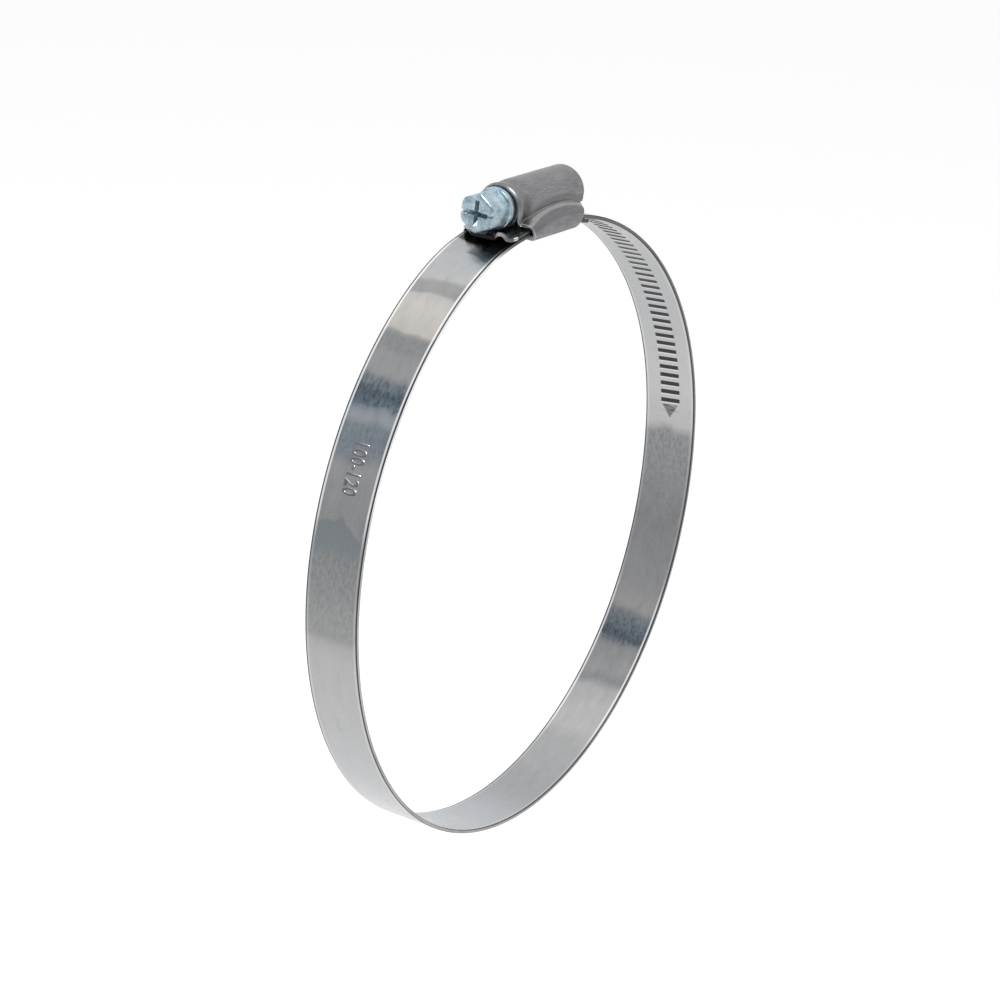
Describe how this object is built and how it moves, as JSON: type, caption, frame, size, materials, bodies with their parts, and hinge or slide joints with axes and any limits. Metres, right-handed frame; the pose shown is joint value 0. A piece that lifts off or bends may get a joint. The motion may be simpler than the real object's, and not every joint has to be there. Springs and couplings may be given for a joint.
{
  "type": "worm-drive hose clamp",
  "caption": "Worm-drive hose clamp: a flexible steel strap with a pressed thread, drawn through a crimped housing by a hexagon-head worm screw to grip a hose.",
  "frame": {"origin": "under the ring, midway between its sides, at the lowest point of the strap", "axes": "+Z from the strap's lowest point up to the housing, Y along the axis of the hose, +X along the screw from its head to its tip"},
  "size_m": [0.1158, 0.014, 0.1323],
  "materials": {
    "strap_steel": "smooth rolled stainless strap, soft mirror sheen",
    "housing_sheet": "satin pressed stainless sheet",
    "zinc_screw": "bluish bright zinc plating on steel"
  },
  "bodies": {
    "frame": {"housing": "housing_sheet", "strap_fixed_end": "strap_steel"},
    "screw": {"screw": "zinc_screw"},
    "slotted_end": {"strap_slotted_end": "strap_steel"},
    "strap_link_01": {"strap_link_01": "strap_steel"},
    "strap_link_02": {"strap_link_02": "strap_steel"},
    "strap_link_03": {"strap_link_03": "strap_steel"},
    "strap_link_04": {"strap_link_04": "strap_steel"},
    "strap_link_05": {"strap_link_05": "strap_steel"},
    "strap_link_06": {"strap_link_06": "strap_steel"},
    "strap_link_07": {"strap_link_07": "strap_steel"},
    "strap_link_08": {"strap_link_08": "strap_steel"}
  },
  "joints": [
    {"name": "screw_turn", "type": "hinge", "parent": "frame", "child": "screw", "pos_m": [0, 0, 0.12771], "axis": [1, 0, 0], "range_deg": [0, 10650]},
    {"name": "strap_draw", "type": "hinge", "parent": "frame", "child": "slotted_end", "pos_m": [-0.0006, 0, 0.06606], "axis": [0, -1, 0], "range_deg": [0, 58.19]},
    {"name": "strap_bend_01", "type": "hinge", "parent": "frame", "child": "strap_link_01", "pos_m": [-0.01737, 0, 0.1209], "axis": [0, -1, 0], "range_deg": [0, 6.47]},
    {"name": "strap_bend_02", "type": "hinge", "parent": "strap_link_01", "child": "strap_link_02", "pos_m": [-0.04053, 0, 0.10459], "axis": [0, -1, 0], "range_deg": [0, 7.39]},
    {"name": "strap_bend_03", "type": "hinge", "parent": "strap_link_02", "child": "strap_link_03", "pos_m": [-0.05664, 0, 0.06981], "axis": [0, -1, 0], "range_deg": [0, 8.29]},
    {"name": "strap_bend_04", "type": "hinge", "parent": "strap_link_03", "child": "strap_link_04", "pos_m": [-0.05242, 0, 0.03444], "axis": [0, -1, 0], "range_deg": [0, 9.15]},
    {"name": "strap_bend_05", "type": "hinge", "parent": "slotted_end", "child": "strap_link_05", "pos_m": [0.05749, 0, 0.06961], "axis": [0, 1, 0], "range_deg": [0, 8.11]},
    {"name": "strap_bend_06", "type": "hinge", "parent": "strap_link_05", "child": "strap_link_06", "pos_m": [0.04938, 0, 0.03202], "axis": [0, 1, 0], "range_deg": [0, 7.15]},
    {"name": "strap_bend_07", "type": "hinge", "parent": "strap_link_06", "child": "strap_link_07", "pos_m": [0.02561, 0, 0.00765], "axis": [0, 1, 0], "range_deg": [0, 6.24]},
    {"name": "strap_bend_08", "type": "hinge", "parent": "strap_link_07", "child": "strap_link_08", "pos_m": [-0.00446, 0, 0.00041], "axis": [0, 1, 0], "range_deg": [0, 5.39]}
  ],
  "couplings": [
    {"joint": "strap_draw", "follows": "screw_turn", "ratio": 0.0054528},
    {"joint": "strap_bend_01", "follows": "screw_turn", "ratio": 0.00060634},
    {"joint": "strap_bend_02", "follows": "screw_turn", "ratio": 0.00069285},
    {"joint": "strap_bend_03", "follows": "screw_turn", "ratio": 0.0007768},
    {"joint": "strap_bend_04", "follows": "screw_turn", "ratio": 0.00085716},
    {"joint": "strap_bend_05", "follows": "screw_turn", "ratio": 0.00075991},
    {"joint": "strap_bend_06", "follows": "screw_turn", "ratio": 0.00067002},
    {"joint": "strap_bend_07", "follows": "screw_turn", "ratio": 0.00058497},
    {"joint": "strap_bend_08", "follows": "screw_turn", "ratio": 0.00050479}
  ]
}
